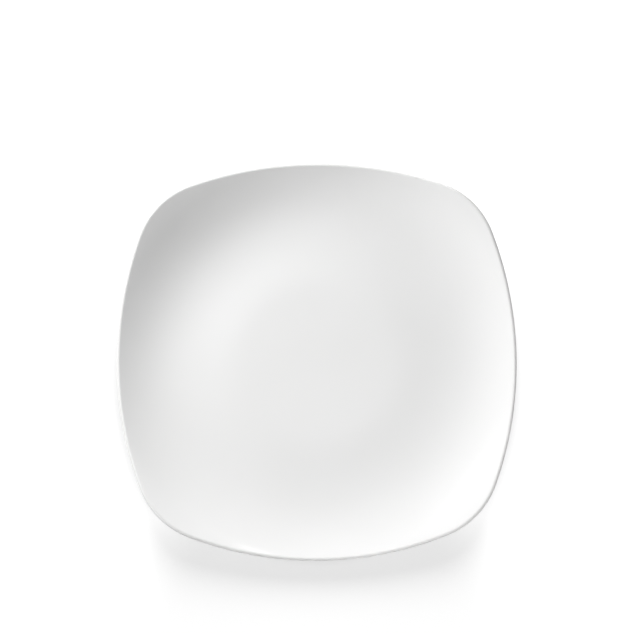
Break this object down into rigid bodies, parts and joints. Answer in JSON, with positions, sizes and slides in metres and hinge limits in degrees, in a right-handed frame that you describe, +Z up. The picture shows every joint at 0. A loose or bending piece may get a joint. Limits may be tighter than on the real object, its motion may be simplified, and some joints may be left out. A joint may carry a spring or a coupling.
{
  "type": "square dinner plate",
  "caption": "White glazed dinner plate with bowed sides, rounded lifted corners, a round well, a rounded lip and an unglazed foot ring.",
  "frame": {"origin": "on the table plane under the middle of the plate, at the centre of the foot ring's standing face", "axes": "+Z up out of the eating face, +X and +Y through the middles of two neighbouring sides"},
  "size_m": [0.267, 0.267, 0.0274],
  "materials": {
    "bare_clay": "matt, fine-grained fired clay, bare on the standing face of the foot ring",
    "white_glaze": "glossy white glaze with a faint waviness",
    "base_glaze": "glossy white glaze, slightly warmer and less even than on the face"
  },
  "bodies": {
    "root": {"clay_body": "bare_clay", "upper_glaze": "white_glaze", "base_glaze": "base_glaze"}
  },
  "joints": []
}
